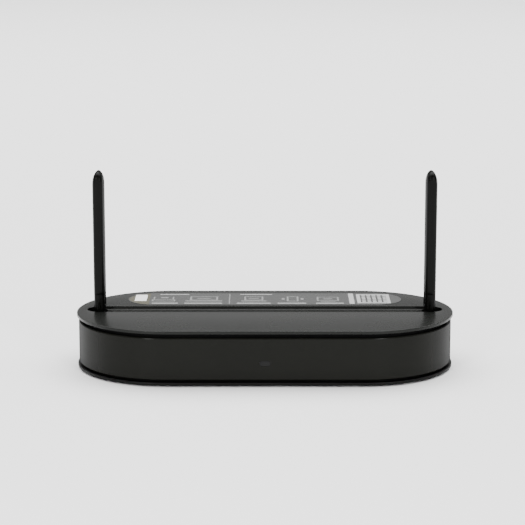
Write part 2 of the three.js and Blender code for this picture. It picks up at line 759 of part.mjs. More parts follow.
function makeButtons() {
  pushButton('power_button', portX.power, powerButtonRadius, powerProud);
  const powerRear = flangeFront - powerTravel - seatGap;
  const powerSwitch = block(
    portX.power - 3.6, portX.power + 3.6, powerRear - 9, powerRear, partSeat, buttonHeight + 3.4,
  );
  addPiece('power_switch', powerSwitch, chipBlack);
  pushButton('pair_button', portX.pair, pairButtonRadius, pairProud);
  const pairRear = flangeFront - pairTravel - seatGap;
  const pairSwitch = block(
    portX.pair - 3, portX.pair + 3, pairRear - 5, pairRear, partSeat, buttonHeight + 3,
  );
  addPiece('pair_switch', pairSwitch, chipBlack);

  const switchLow = boardHeight - seatGap - switchHeight;
  const resetTop = switchLow - resetTravel - seatGap;
  const stem = join(
    post(resetX, resetY, resetRadius, footHeight + 0.9, resetTop),
    post(resetX, resetY, resetRadius + buttonFlange, baseTop + resetCollar + seatGap, resetTop),
  );
  addPiece('reset_button', stem, buttonPlastic);
  const resetSwitch = block(-2.6, 2.6, -2.6, 2.6, switchLow, switchLow + switchHeight);
  addPiece('reset_switch', resetSwitch.translate([resetX, resetY, 0]), chipBlack);
}

// ---- status light: a lens in the band, fed by a lamp at the board's front edge ----
function makeStatusLight() {
  const face = -(halfDepth - bandInset) + lensSink;
  const back = -(halfDepth - frameInner) + 2;
  const lens = slabAlongY(pill(windowWidth / 2, windowHeight / 2), 0, windowLevel, face, back, 6);
  const lampLevel = partSeat + 0.9;
  const pipe = block(-1.4, 1.4, back - 1.6, back + 1.2, lampLevel - 0.8, windowLevel);
  const foot = block(-1.4, 1.4, back - 1.6, boardFront + 0.6, lampLevel - 0.8, lampLevel + 1.2);
  addPiece('light_guide', join(lens, pipe, foot), smokedPlastic);
  const lamp = block(-1.6, 1.6, boardFront + 0.9, boardFront + 2.7, partSeat, partSeat + 2);
  addPiece('status_lamp', lamp, clearPlastic);
}

makeBasePlate();
makeFeet();
makeFrame();
makeBand();
makePanel();
makeLid();
makeLabel();
for (const [sideName, side] of [['left', -1], ['right', 1]]) {
  makeAntenna(sideName, side);
  makeLead(sideName, side);
}
makeBoard();
makeScrews();
makeElectronics();
makeSockets();
makeButtons();
makeStatusLight();

export default router;
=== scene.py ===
import json
import math

import bmesh
import bpy
import numpy as np
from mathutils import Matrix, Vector
from mathutils.geometry import tessellate_polygon


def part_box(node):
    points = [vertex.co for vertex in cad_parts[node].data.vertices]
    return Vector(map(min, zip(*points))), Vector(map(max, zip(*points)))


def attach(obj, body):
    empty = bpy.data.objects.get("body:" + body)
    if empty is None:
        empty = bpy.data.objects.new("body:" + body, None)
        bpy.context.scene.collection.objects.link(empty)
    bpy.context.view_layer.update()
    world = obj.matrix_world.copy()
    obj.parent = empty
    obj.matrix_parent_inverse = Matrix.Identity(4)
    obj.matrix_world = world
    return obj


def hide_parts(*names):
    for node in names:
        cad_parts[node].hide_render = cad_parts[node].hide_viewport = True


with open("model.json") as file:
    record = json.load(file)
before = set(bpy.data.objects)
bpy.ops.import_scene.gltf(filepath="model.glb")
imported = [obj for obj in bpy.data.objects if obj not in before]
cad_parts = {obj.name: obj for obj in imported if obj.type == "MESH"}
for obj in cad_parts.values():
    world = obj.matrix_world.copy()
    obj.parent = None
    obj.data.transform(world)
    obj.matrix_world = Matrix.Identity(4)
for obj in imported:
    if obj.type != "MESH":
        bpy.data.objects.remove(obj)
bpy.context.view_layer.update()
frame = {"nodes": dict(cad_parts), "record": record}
mm = 0.001


class Wire:
    # one output socket; adding to it, multiplying it or comparing it adds the Math node that does so
    def __init__(self, paint, socket):
        self.paint = paint
        self.socket = socket

    def maths(self, operation, *others):
        inputs = dict(enumerate((self, *others)))
        return self.paint.make("ShaderNodeMath", {"operation": operation}, inputs)

    def __add__(self, other):
        return self.maths("ADD", other)

    __radd__ = __add__

    def __mul__(self, other):
        return self.maths("MULTIPLY", other)

    def __lt__(self, other):
        return self.maths("LESS_THAN", other)


class Paint:
    # one material being mixed; make() adds a node, sets it up and returns its output
    def __init__(self, name, metallic=0.0, specular=0.5, coat=0.0, coatRoughness=0.1, ior=1.5):
        self.material = bpy.data.materials.new(name)
        self.material.use_nodes = True
        self.tree = self.material.node_tree
        self.shader = self.tree.nodes["Principled BSDF"]
        fixed = {"Metallic": metallic, "Specular IOR Level": specular, "Coat Weight": coat,
                 "Coat Roughness": coatRoughness, "IOR": ior}
        for socketName, value in fixed.items():
            self.shader.inputs[socketName].default_value = value
        self.place = self.make("ShaderNodeTexCoord", output="Object")

    def make(self, kind, settings=None, inputs=None, output=0):
        node = self.tree.nodes.new(kind)
        for key, value in (settings or {}).items():
            setattr(node, key, value)
        for key, value in (inputs or {}).items():
            if isinstance(value, Wire):
                self.tree.links.new(value.socket, node.inputs[key])
            else:
                node.inputs[key].default_value = value
        return Wire(self, node.outputs[output])

    def noise(self, scale, detail=3.0, roughness=0.55, stretch=(1, 1, 1)):
        place = self.make("ShaderNodeMapping", None, {"Vector": self.place, "Scale": stretch})
        settings = {"Vector": place, "Scale": scale, "Detail": detail, "Roughness": roughness}
        return self.make("ShaderNodeTexNoise", None, settings)

    def blend(self, factor, first, second):
        # a colour mix: all first at 0, all second at 1
        inputs = {0: factor, 6: (*first, 1.0), 7: (*second, 1.0)}
        return self.make("ShaderNodeMix", {"data_type": "RGBA"}, inputs, output=2)

    def bump(self, height, strength, distance):
        inputs = {"Height": height, "Strength": strength, "Distance": distance}
        return self.make("ShaderNodeBump", None, inputs)

    def paintEdgeShade(self, most, start):
        # paints shade on the edges: mixes the shader with plain black towards grazing angles, so the edges
        # mirror less of the room
        facing = self.make("ShaderNodeLayerWeight", None, {"Blend": 0.5}, output="Facing")
        ramp = {"Value": facing, "From Min": start, "From Max": 1.0, "To Min": 0.0, "To Max": most}
        share = self.make("ShaderNodeMapRange", None, ramp)
        black = self.make("ShaderNodeBsdfDiffuse", None, {"Color": (0.002, 0.002, 0.002, 1.0)})
        shaders = {0: share, 1: Wire(self, self.shader.outputs[0]), 2: black}
        mixed = self.make("ShaderNodeMixShader", None, shaders)
        self.tree.links.new(mixed.socket, self.tree.nodes["Material Output"].inputs["Surface"])

    def set(self, **sockets):
        names = {"color": "Base Color", "roughness": "Roughness", "normal": "Normal"}
        for key, value in sockets.items():
            socket = self.shader.inputs[names[key]]
            if isinstance(value, Wire):
                self.tree.links.new(value.socket, socket)
            else:
                socket.default_value = value
        return self.material


# for each moulded plastic: its colour, its polish, how fine and how deep its grain is, how much it shines,
# and where it has it, how much painted shade its grazing edges get and from what angle
plasticLook = {
    "lid": dict(color=(0.0080, 0.0085, 0.0077), rough=0.27, grain=1500, bump=0.048, specular=0.12,
                edgeShade=1.0, edgeShadeFrom=0.84),
    "band": dict(color=(0.0058, 0.0060, 0.0048), rough=0.2, grain=1700, bump=0.048, specular=0.075,
                 edgeShade=1.0, edgeShadeFrom=0.4),
    "base": dict(color=(0.0022, 0.0022, 0.0022), rough=0.42, grain=1300, bump=0.24, specular=0.1),
    "inner": dict(color=(0.0016, 0.0016, 0.0016), rough=0.7, grain=1100, bump=0.24, specular=0.05),
    "button": dict(color=(0.020, 0.021, 0.023), rough=0.42, grain=1600, bump=0.16, specular=0.45),
    "jack": dict(color=(0.012, 0.012, 0.013), rough=0.45, grain=1500, bump=0.16, specular=0.45),
    "chip": dict(color=(0.013, 0.0135, 0.015), rough=0.55, grain=2600, bump=0.24, specular=0.4),
    "antenna": dict(color=(0.0018, 0.0019, 0.0015), rough=0.24, grain=900, bump=0.032, specular=0.075,
                    edgeShade=1.0, edgeShadeFrom=0.4),
}


def mouldedPlastic(key):
    # a fine spark texture, with broad faint changes of tone and polish
    look = plasticLook[key]
    paint = Paint(f"{key}Plastic", specular=look["specular"])
    grain = paint.noise(look["grain"], 2.0, 0.6)
    cloud = paint.noise(28, 4.0, 0.6)
    streak = paint.noise(9, 3.0, 0.5, (1, 2.2, 1))
    darker = tuple(value * 0.82 for value in look["color"])
    lighter = tuple(value * 1.22 for value in look["color"])
    tone = cloud * 0.7 + grain * 0.3
    color = paint.blend(tone, darker, lighter)
    # painted shade towards grazing angles, where the edges would mirror the bright room
    if look.get("edgeShade"):
        paint.paintEdgeShade(look["edgeShade"], look["edgeShadeFrom"])
    rough = look["rough"] - 0.05 + cloud * 0.06 + streak * 0.04
    return paint.set(color=color, roughness=rough, normal=paint.bump(grain, look["bump"], 0.04 * mm))


plastics = {key: mouldedPlastic(key) for key in plasticLook}


def rubberPaint():
    paint = Paint("footRubber", specular=0.3)
    grain = paint.noise(1800, 3.0, 0.7)
    dust = paint.noise(160, 4.0, 0.6)
    color = paint.blend(dust, (0.012, 0.012, 0.0125), (0.028, 0.028, 0.027))
    return paint.set(color=color, roughness=0.78 + grain * 0.12, normal=paint.bump(grain, 0.5, 0.08 * mm))


def metalPaint(name, color, rough, stretch=(1, 1, 1), scale=600):
    paint = Paint(name, metallic=1.0)
    brush = paint.noise(scale, 3.0, 0.6, stretch)
    smear = paint.noise(40, 4.0, 0.6)
    tone = paint.blend(smear, tuple(value * 0.82 for value in color), color)
    return paint.set(color=tone, roughness=rough + brush * 0.14, normal=paint.bump(brush, 0.12, 0.03 * mm))


def boardPaint():
    # solder mask over a weave of glass, with copper tracks that show as lighter lines
    paint = Paint("boardMask", specular=0.5, coat=0.3, coatRoughness=0.2)
    cells = {"Vector": paint.place, "Scale": 260}
    tracks = paint.make("ShaderNodeTexVoronoi", {"feature": "DISTANCE_TO_EDGE"}, cells)
    line = tracks < 0.05
    weave = paint.noise(900, 2.0, 0.5)
    color = paint.blend(line * 0.55 + weave * 0.2, (0.006, 0.055, 0.024), (0.018, 0.13, 0.055))
    return paint.set(color=color, roughness=0.34 + weave * 0.12, normal=paint.bump(line, 0.3, 0.04 * mm))


def softPadPaint():
    paint = Paint("padSilicone", specular=0.35)
    grain = paint.noise(700, 4.0, 0.6)
    color = paint.blend(grain, (0.20, 0.22, 0.25), (0.30, 0.33, 0.37))
    return paint.set(color=color, roughness=0.7 + grain * 0.15, normal=paint.bump(grain, 0.3, 0.1 * mm))


def smokedPaint():
    # smoked resin nearly the tone of the band, so that the window hardly shows while its lamp is off
    paint = Paint("smokedWindow", specular=0.12)
    haze = paint.noise(300, 3.0, 0.5)
    color = paint.blend(haze, (0.0052, 0.0052, 0.0052), (0.0072, 0.0072, 0.0072))
    # painted shade on the window's edges seen at grazing angles
    paint.paintEdgeShade(1.0, 0.4)
    return paint.set(color=color, roughness=0.16 + haze * 0.08)


def lampPaint():
    paint = Paint("lampResin", specular=0.6, ior=1.52)
    cloud = paint.noise(900, 2.0, 0.5)
    color = paint.blend(cloud, (0.55, 0.60, 0.60), (0.78, 0.82, 0.80))
    return paint.set(color=color, roughness=0.18 + cloud * 0.1)


def jacketPaint():
    paint = Paint("leadJacket", specular=0.4)
    grain = paint.noise(2400, 2.0, 0.5)
    color = paint.blend(grain, (0.010, 0.010, 0.011), (0.026, 0.026, 0.028))
    return paint.set(color=color, roughness=0.45 + grain * 0.15, normal=paint.bump(grain, 0.2, 0.03 * mm))


def filmPaint(name, color, rough):
    # printed film: a faint fibre in the gloss and a slight unevenness of the ink
    paint = Paint(name, specular=0.5)
    fibre = paint.noise(1400, 3.0, 0.6, (0.3, 1, 1))
    cloud = paint.noise(60, 3.0, 0.5)
    tone = paint.blend(fibre * 0.6 + cloud * 0.4, tuple(value * 0.9 for value in color), color)
    return paint.set(color=tone, roughness=rough + fibre * 0.08, normal=paint.bump(fibre, 0.08, 0.03 * mm))


rubber = rubberPaint()
steel = metalPaint("screwSteel", (0.52, 0.52, 0.53), 0.3)
shieldMetal = metalPaint("shieldMetal", (0.62, 0.63, 0.64), 0.22, (1, 6, 1))
sinkMetal = metalPaint("sinkAluminium", (0.60, 0.61, 0.63), 0.34, (1, 9, 1), 380)
goldMetal = metalPaint("contactGold", (0.83, 0.62, 0.27), 0.2)
boardMask = boardPaint()
padSilicone = softPadPaint()
smoked = smokedPaint()
lampResin = lampPaint()
jacket = jacketPaint()

print("finishes mixed")


# a loop is a closed row of points (x, y), and a shell is a mesh put together from rows of them
class Shell:
    def __init__(self):
        self.points = []
        self.faces = []
        self.smooth = []
        self.count = 0

    def add(self, points, faces, flat=True):
        self.points.append(np.asarray(points, float).reshape(-1, 3))
        self.faces += (np.asarray(faces, int) + self.count).tolist()
        self.smooth += [not flat] * len(faces)
        self.count += len(self.points[-1])

    # quads between neighbouring rows of a grid of points; `around` joins the last column to the first
    def grid(self, points, around=True, keep=None, flat=False):
        points = np.asarray(points, float)
        rows, columns = points.shape[:2]
        index = np.arange(rows * columns).reshape(rows, columns)
        right = np.roll(index, -1, axis=1) if around else index[:, 1:]
        left = index if around else index[:, :-1]
        quads = np.stack([left[:-1], right[:-1], right[1:], left[1:]], axis=-1).reshape(-1, 4)
        if keep is not None:
            quads = quads[keep(points.reshape(-1, 3)[quads].mean(axis=1))]
        self.add(points, quads, flat)

    # a flat face inside the first loop and outside the others
    def face(self, loops, put, depth):
        polygons = [[Vector((x, y, 0)) for x, y in loop] for loop in loops]
        self.add(put(np.concatenate(loops), depth), tessellate_polygon(polygons))

    # a wall with openings: each stack is a list of (loop, depth) rows from the near face to the far one,
    # the outline first, then what goes right through; a blind stack stops at a floor of its own
    def pierced(self, stacks, put, blind=()):
        self.face([stack[0][0] for stack in [*stacks, *blind]], put, stacks[0][0][1])
        self.face([stack[-1][0] for stack in stacks], put, stacks[0][-1][1])
        for stack in [*stacks, *blind]:
            self.grid([put(loop, depth) for loop, depth in stack])
        for stack in blind:
            self.face([stack[-1][0]], put, stack[-1][1])

    # a turned piece: (radius, depth) rows carried round the point (x, y), closed at both ends
    def turned(self, profile, put, x=0.0, y=0.0, sides=64, closed=True):
        turn = np.linspace(0, 2 * math.pi, sides + 1)[:-1]
        ring = np.stack([np.cos(turn), np.sin(turn)], axis=1)
        rows = [put(ring * radius + (x, y), depth) for radius, depth in profile]
        self.grid(rows)
        if closed:
            self.face([ring * profile[0][0] + (x, y)], put, profile[0][1])
            self.face([ring * profile[-1][0] + (x, y)], put, profile[-1][1])

    def block(self, low, high):
        (x0, y0, z0), (x1, y1, z1) = low, high
        square = np.array([(x0, y0), (x1, y0), (x1, y1), (x0, y1)])
        self.grid([rise(square, z0), rise(square, z1)], flat=True)
        self.face([square], rise, z0)
        self.face([square], rise, z1)

    def build(self, name, material, body="root", replaces=(), sharp=38):
        mesh = bpy.data.meshes.new(name)
        mesh.from_pydata(np.concatenate(self.points).tolist(), [], self.faces)
        mesh.polygons.foreach_set("use_smooth", self.smooth)
        work = bmesh.new()
        work.from_mesh(mesh)
        bmesh.ops.remove_doubles(work, verts=work.verts, dist=0.000002)
        bmesh.ops.recalc_face_normals(work, faces=work.faces)
        work.to_mesh(mesh)
        work.free()
        mesh.set_sharp_from_angle(angle=math.radians(sharp))
        mesh.materials.append(material)
        piece = bpy.data.objects.new(name, mesh)
        bpy.context.scene.collection.objects.link(piece)
        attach(piece, body)
        if replaces:
            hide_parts(*replaces)


def rise(loop, height):
    # a loop drawn in x and y, lifted to a height
    return np.column_stack([loop, np.full(len(loop), height)])


def toRear(loop, depth):
    # a loop drawn in x and z, set at a distance towards the rear
    return np.column_stack([loop[:, 0], np.full(len(loop), depth), loop[:, 1]])


def circle(radius, x=0.0, y=0.0, sides=48):
    turn = np.linspace(0, 2 * math.pi, sides + 1)[:-1]
    return np.stack([x + radius * np.cos(turn), y + radius * np.sin(turn)], axis=1)


def pillLoop(straight, radius, centreY=0.0, arcs=64, sides=()):
    # two half circles about (+-straight, centreY), joined by sides that pass the given x values
    turn = np.linspace(-math.pi / 2, math.pi / 2, arcs + 1)
    inner = np.sort(np.asarray(sides, float))
    bow = radius * np.cos(turn)
    x = np.concatenate([straight + bow, inner[::-1], -straight - bow, inner])
    y = np.concatenate([radius * np.sin(turn), np.full(len(inner), radius),
                        -radius * np.sin(turn), np.full(len(inner), -radius)])
    return np.stack([x, y + centreY], axis=1)


def uprightPill(x, y, halfWidth, halfLength, arcs=10):
    # a slot with round ends whose long side runs along y
    return pillLoop(halfLength - halfWidth, halfWidth, 0, arcs)[:, ::-1] * (-1, 1) + (x, y)


def box2d(x0, x1, y0, y1, corner=0.0, arcs=4):
    # a rectangle with quarter-circle corners
    turn = np.linspace(0, math.pi / 2, arcs + 1)
    rounds = []
    for index, (x, y) in enumerate(((x1, y1), (x0, y1), (x0, y0), (x1, y0))):
        centre = (x - corner if x == x1 else x + corner, y - corner if y == y1 else y + corner)
        angle = turn + index * math.pi / 2
        rounds.append(np.stack([np.cos(angle), np.sin(angle)], axis=1) * corner + centre)
    return np.concatenate(rounds)


def grown(loop, amount):
    # a loop moved outwards by a small amount, measured on its half size
    middle = (loop.max(axis=0) + loop.min(axis=0)) / 2
    half = (loop.max(axis=0) - loop.min(axis=0)) / 2
    return middle + (loop - middle) * (half + amount) / half


# a quarter round as (inset, height) rows: inset = middle - r cos a, height = middle + r sin a
def quarter(inset, height, radius, fromDegrees, toDegrees, steps=5):
    angle = np.radians(np.linspace(fromDegrees, toDegrees, steps + 1))
    return list(zip(inset - radius * np.cos(angle), height + radius * np.sin(angle)))


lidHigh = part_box("lid")[1]
bandLow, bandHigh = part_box("side_band")
baseLow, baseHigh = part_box("base_plate")
panelLow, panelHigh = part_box("port_panel")
halfLength = lidHigh.x
halfDepth = lidHigh.y
straight = halfLength - halfDepth
lidTop = lidHigh.z
leftSleeveLow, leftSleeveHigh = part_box("antenna_sleeve_left")
antennaX = -(leftSleeveLow.x + leftSleeveHigh.x) / 2
channelY = (leftSleeveLow.y + leftSleeveHigh.y) / 2


lidShape = {
    "thickness": 2.0 * mm,
    "edgeRound": 0.3 * mm,
    "lipRound": 0.4 * mm,
    "channelHalf": 8.5 * mm,
    "channelDepth": 2.5 * mm,
    "channelFillet": 2.1 * mm,
    "wellDepth": 9.0 * mm,
    "troughWall": 1.2 * mm,
    "arcs": 72,
}


def makeLid():
    shape = lidShape
    low = lidTop - shape["thickness"]
    edge = shape["edgeRound"]
    half = shape["channelHalf"]
    arcs = shape["arcs"]
    sides = np.linspace(-1, 1, 42)[1:-1]

    def outerLoop(inset):
        return pillLoop(straight, halfDepth - inset, 0.0, arcs, sides * straight)

    def channelLoop(spread):
        return pillLoop(antennaX, half + spread, channelY, arcs, sides * antennaX)

    shell = Shell()
    profile = quarter(edge, low + edge, edge, -90, 0) + quarter(edge, lidTop - edge, edge, 0, 90)
    shell.grid([rise(outerLoop(inset), height) for inset, height in profile])
    lip = shape["lipRound"]
    shell.grid([rise(outerLoop(edge), lidTop), rise(channelLoop(lip), lidTop)], flat=True)
    floor = lidTop - shape["channelDepth"]
    fillet = shape["channelFillet"]
    rows = [rise(channelLoop(lip + inset), height) for inset, height in quarter(0, lidTop - lip, lip, 90, 0)]
    shell.grid(rows + [rise(channelLoop(0), floor + fillet)])

    # channel floor: x runs between the two well arcs at each y, and the height follows a hollow with
    # quarter-round sides: floor + r - sqrt(r^2 - (|y| - half + r)^2)
    angle = np.linspace(-math.pi / 2, math.pi / 2, arcs + 1)
    across = half * np.sin(angle)
    intoSide = np.clip(np.abs(across) - half + fillet, 0, fillet)
    hollow = floor + fillet - np.sqrt(fillet ** 2 - intoSide ** 2)
    reach = antennaX - half * np.cos(angle)
    x = reach[:, None] * np.concatenate([[-1], sides, [1]])[None, :]
    floorRows = np.stack([x, channelY + across[:, None] + 0 * x, hollow[:, None] + 0 * x], axis=-1)
    shell.grid(floorRows, around=False)

    # wells: outer half a wall from the channel's side, inner half a wall from the hollow, down to a floor
    wellFloor = lidTop - shape["wellDepth"]
    turn = np.linspace(-math.pi / 2, 1.5 * math.pi, 2 * arcs + 1)[:-1]
    top = np.where(np.arange(2 * arcs) <= arcs, floor + fillet, 0.0)
    top[arcs:] = hollow[::-1][:arcs]
    for side in (-1, 1):
        ring = np.stack([side * (antennaX + half * np.cos(turn)), channelY + half * np.sin(turn)], axis=1)
        shell.grid([np.column_stack([ring, top]), rise(ring, wellFloor)])
        shell.face([ring], rise, wellFloor)

    # underside: in to the trough, down its wall and across
    wall = shape["troughWall"]
    shell.grid([rise(outerLoop(edge), low), rise(channelLoop(wall), low)], flat=True)
    shell.grid([rise(channelLoop(wall), low), rise(channelLoop(wall), wellFloor - wall)])
    shell.face([channelLoop(wall)], rise, wellFloor - wall)
    shell.build("lidShell", plastics["lid"], replaces=["lid"])


makeLid()
print("lid made")


bandShape = {
    "wall": 2.0 * mm,
    "edgeRound": 0.9 * mm,
    "lipRound": 0.4 * mm,
    "edgeMargin": 0.4 * mm,
    "gap": 0.3 * mm,
    "plateHalf": (6.0 * mm, 3.4 * mm),
    "windowHalf": (3.8 * mm, 1.8 * mm),
    "windowBelowTop": 1.6 * mm,
    "capSunk": 0.05 * mm,
    "capGap": 0.08 * mm,
    "capChamfer": 0.05 * mm,
}
lensLow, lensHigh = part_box("light_guide")
lensLevel = lensHigh.z - bandShape["windowBelowTop"]


def makeBand():
    shape = bandShape
    edge = shape["edgeRound"]
    lip = shape["lipRound"]
    wall = shape["wall"]
    margin = edge + shape["edgeMargin"]
    inset = halfLength - bandHigh.x
    low, high = bandLow.z, bandHigh.z
    windowX = panelHigh.x + shape["gap"]
    windowLow = panelLow.z - shape["gap"]
    windowHigh = panelHigh.z + shape["gap"]
    plateX, plateZ = shape["plateHalf"]
    plateLow, plateHigh = lensLevel - plateZ, lensLevel + plateZ
    faceY = halfDepth - inset
    shell = Shell()

    def bandLoop(depth):
        return pillLoop(straight, faceY - depth, 0.0, 72, (-windowX, -plateX, plateX, windowX))

    stops = [windowLow, plateLow, plateHigh, windowHigh]
    outer = quarter(edge, low + edge, edge, -90, 0) + [(0, low + margin)]
    outer += [(0, stop) for stop in stops] + [(0, high - margin)]
    outer += quarter(edge, high - edge, edge, 0, 90)
    inner = quarter(wall - lip, high - lip, -lip, -90, 0) + [(wall, stop) for stop in reversed(stops)]
    inner += quarter(wall - lip, low + lip, -lip, 0, 90)
    profile = outer + inner + outer[:1]

    def outsideOpenings(middle):
        x, y, z = middle.T
        rear = (y > 0) & (np.abs(x) < windowX) & (z > windowLow) & (z < windowHigh)
        front = (y < 0) & (np.abs(x) < plateX) & (z > plateLow) & (z < plateHigh)
        return ~(rear | front)

    shell.grid([rise(bandLoop(depth), height) for depth, height in profile], keep=outsideOpenings)
    # the four sides of the rear opening, each from the outer face to the inner
    stopsX = (-windowX, -plateX, plateX, windowX)
    for x in (-windowX, windowX):
        shell.grid([[(x, y, z) for z in stops] for y in (faceY, faceY - wall)], around=False, flat=True)
    for z in (windowLow, windowHigh):
        shell.grid([[(x, y, z) for x in stopsX] for y in (faceY, faceY - wall)], around=False, flat=True)
    # the front plate round the status window, and the window's own wall
    halfX, halfZ = shape["windowHalf"]
    window = pillLoop(halfX - halfZ, halfZ, lensLevel, 16)
    plate = np.array([(-plateX, plateLow), (plateX, plateLow), (plateX, plateHigh), (-plateX, plateHigh)])
    for y in (-faceY, -faceY + wall):
        shell.face([plate, window], toRear, y)
    shell.grid([toRear(window, -faceY), toRear(window, -faceY + wall)])
    shell.build("bandShell", plastics["band"], replaces=["side_band"])

    # a thin front cap for the light guide, just under flush with the band
    lens = Shell()
    front = -faceY + shape["capSunk"]
    side = shape["capGap"]
    edge = side + shape["capChamfer"]
    depths = ((edge, front), (side, front + shape["capChamfer"]), (side, lensLow.y - shape["capSunk"] / 2))
    rows = [(pillLoop(halfX - halfZ, halfZ - shrink, lensLevel, 16), y) for shrink, y in depths]
    lens.pierced([rows], toRear)
    lens.build("statusWindow", smoked)


makeBand()
print("band made")


baseShape = {
    "edgeRound": 0.35 * mm,
    "thickness": 1.85 * mm,
    "footRecess": 6.3 * mm,
    "recessDepth": 0.8 * mm,
    "screwHole": 2.8 * mm,
    "resetHole": 1.8 * mm,
    "keyholeX": 55 * mm,
    "keyholeRadius": 4.2 * mm,
    "keySlotHalf": 2.3 * mm,
    "keyLength": 10 * mm,
    "ventCount": 11,
    "ventPitch": 6 * mm,
    "ventHalf": (1.2 * mm, 10 * mm),
    "ventY": 14 * mm,
    "postRadius": 4.6 * mm,
    "postHeight": 2.8 * mm,
    "postSeat": 1 * mm,
    "chamfer": 0.2 * mm,
}


def centreOf(node):
    low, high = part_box(node)
    return (low + high) / 2


def keyhole(x):
    # a circle opened at the top into a slot with a round end
    shape = baseShape
    opening = math.acos(shape["keySlotHalf"] / shape["keyholeRadius"])
    turn = np.linspace(math.pi - opening, 2 * math.pi + opening, 40)
    bow = shape["keyholeRadius"] * np.stack([np.cos(turn), np.sin(turn)], axis=1)
    turn = np.linspace(0, math.pi, 16)
    end = shape["keySlotHalf"] * np.stack([np.cos(turn), np.sin(turn)], axis=1)
    return np.concatenate([bow, end + (0, shape["keyLength"] - shape["keySlotHalf"])]) + (x, 0)


def makeBase():
    shape = baseShape
    low = baseLow.z
    top = low + shape["thickness"]
    edge = shape["edgeRound"]
    radius = baseHigh.y
    half = baseHigh.x - radius
    profile = quarter(edge, low + edge, edge, -90, 0) + quarter(edge, top - edge, edge, 0, 90)
    outline = [(pillLoop(half, radius - inset, 0, 72), height) for inset, height in profile]

    def sunk(loop, depth):
        return [(grown(loop, shape["chamfer"]), low), (loop, low + shape["chamfer"]), (loop, depth)]

    def through(loop):
        return sunk(loop, top)

    screws = [centreOf(f"case_screw_{number}").xy for number in range(1, 5)]
    holes = [through(circle(shape["screwHole"], *place)) for place in screws]
    holes.append(through(circle(shape["resetHole"], *centreOf("reset_button").xy, 24)))
    holes += [through(keyhole(side * shape["keyholeX"])) for side in (-1, 1)]
    for row in range(shape["ventCount"]):
        x = (row - (shape["ventCount"] - 1) / 2) * shape["ventPitch"]
        holes += [through(uprightPill(x, side * shape["ventY"], *shape["ventHalf"])) for side in (-1, 1)]
    recesses = []
    for number in range(1, 5):
        loop = circle(shape["footRecess"], *centreOf(f"foot_{number}").xy)
        recesses.append(sunk(loop, low + shape["recessDepth"]))
    shell = Shell()
    shell.pierced([outline, *holes], rise, recesses)
    shell.build("basePlate", plastics["base"], replaces=["base_plate"])
    # a post over each screw hole, whose bore narrows above the seat of the screw's head
    posts = Shell()
    hole, outer = shape["screwHole"], shape["postRadius"]
    postTop = top + shape["postHeight"]
    profile = [(hole, top), (outer, top), (outer, postTop), (hole / 2, postTop),
               (hole / 2, top + shape["postSeat"]), (hole, top)]
    for x, y in screws:
        posts.turned(profile, rise, x, y, 32, closed=False)
    posts.build("basePosts", plastics["base"])


footShape = {
    "edgeRound": 0.4 * mm,
    "ringDepth": 0.15 * mm,
    "ringShares": (0.45, 0.5, 0.66, 0.71),
}


def makeFeet():
    # a disc with a rounded tread edge and a shallow ring moulded into its face
    shape = footShape
    edge = shape["edgeRound"]
    innerTop, innerFloor, outerFloor, outerTop = shape["ringShares"]
    for number in range(1, 5):
        low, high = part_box(f"foot_{number}")
        radius = (high.x - low.x) / 2
        x, y = centreOf(f"foot_{number}").xy
        floor = low.z + shape["ringDepth"]
        profile = [(radius * innerTop, low.z), (radius * innerFloor, floor),
                   (radius * outerFloor, floor), (radius * outerTop, low.z)]
        profile += [(radius - inset, height) for inset, height in quarter(edge, low.z + edge, edge, -90, 0)]
        profile.append((radius, high.z))
        shell = Shell()
        shell.turned(profile, rise, x, y, 64)
        shell.build(f"footPad_{number}", rubber, replaces=[f"foot_{number}"])


makeBase()
makeFeet()
print("base and feet made")


antennaShape = {
    "tip": 8.7 * mm,
    "shoulder": 5.0 * mm,
    "square": 3.6,
    "tipSquare": 2.4,
    "sides": 96,
    "footChamfer": 0.08 * mm,
    "knuckleRadius": 3.8 * mm,
    "knuckleTop": 0.14 * mm,
    "forkHalf": 3.6 * mm,
    "forkTop": 4.6 * mm,
    "cheekSteps": 14,
}


def makeSleeve(sideName):
    # each level is a squared-off oval, |x/thick|^n + |y/wide|^n = 1; towards the top its thickness follows
    # a bullet and its width a round shoulder, and n falls so that the tip turns into a plain oval
    low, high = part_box(f"antenna_sleeve_{sideName}")
    centre = (low + high) / 2
    half = (high.x - low.x) / 2
    halfWidth = (high.y - low.y) / 2
    shape = antennaShape
    tipLow = high.z - shape["tip"]
    arch = np.sin(np.linspace(0, math.pi / 2, 26))[1:]
    heights = np.concatenate([[low.z, low.z + 0.3 * mm], np.linspace(low.z + 2 * mm, tipLow, 12),
                              tipLow + shape["tip"] * arch])
    tipPart = np.clip((heights - tipLow) / shape["tip"], 0, 0.9995)
    shoulderPart = np.clip((heights - (high.z - shape["shoulder"])) / shape["shoulder"], 0, 0.9995)
    foot = np.where(heights == low.z, shape["footChamfer"], 0.0)
    thick = half * np.sqrt(1 - tipPart ** 2) - foot
    wide = halfWidth - shape["shoulder"] * (1 - np.sqrt(1 - shoulderPart ** 2)) - foot
    square = shape["square"] + (shape["tipSquare"] - shape["square"]) * tipPart ** 2
    angle = np.linspace(0, 2 * math.pi, shape["sides"] + 1)[:-1]
    cos, sin = np.cos(angle)[None, :], np.sin(angle)[None, :]
    power = (2 / square)[:, None]
    x = centre.x + thick[:, None] * np.sign(cos) * np.abs(cos) ** power
    y = centre.y + wide[:, None] * np.sign(sin) * np.abs(sin) ** power
    rows = np.stack([x, y, heights[:, None] + 0 * x], axis=-1)
    shell = Shell()
    shell.grid(rows)
    shell.face([rows[0][:, :2]], rise, heights[0])
    shell.face([rows[-1][:, :2]], rise, heights[-1])
    shell.build(f"sleeve_{sideName}", plastics["antenna"], f"antenna_{sideName}",
                [f"antenna_sleeve_{sideName}"], sharp=60)


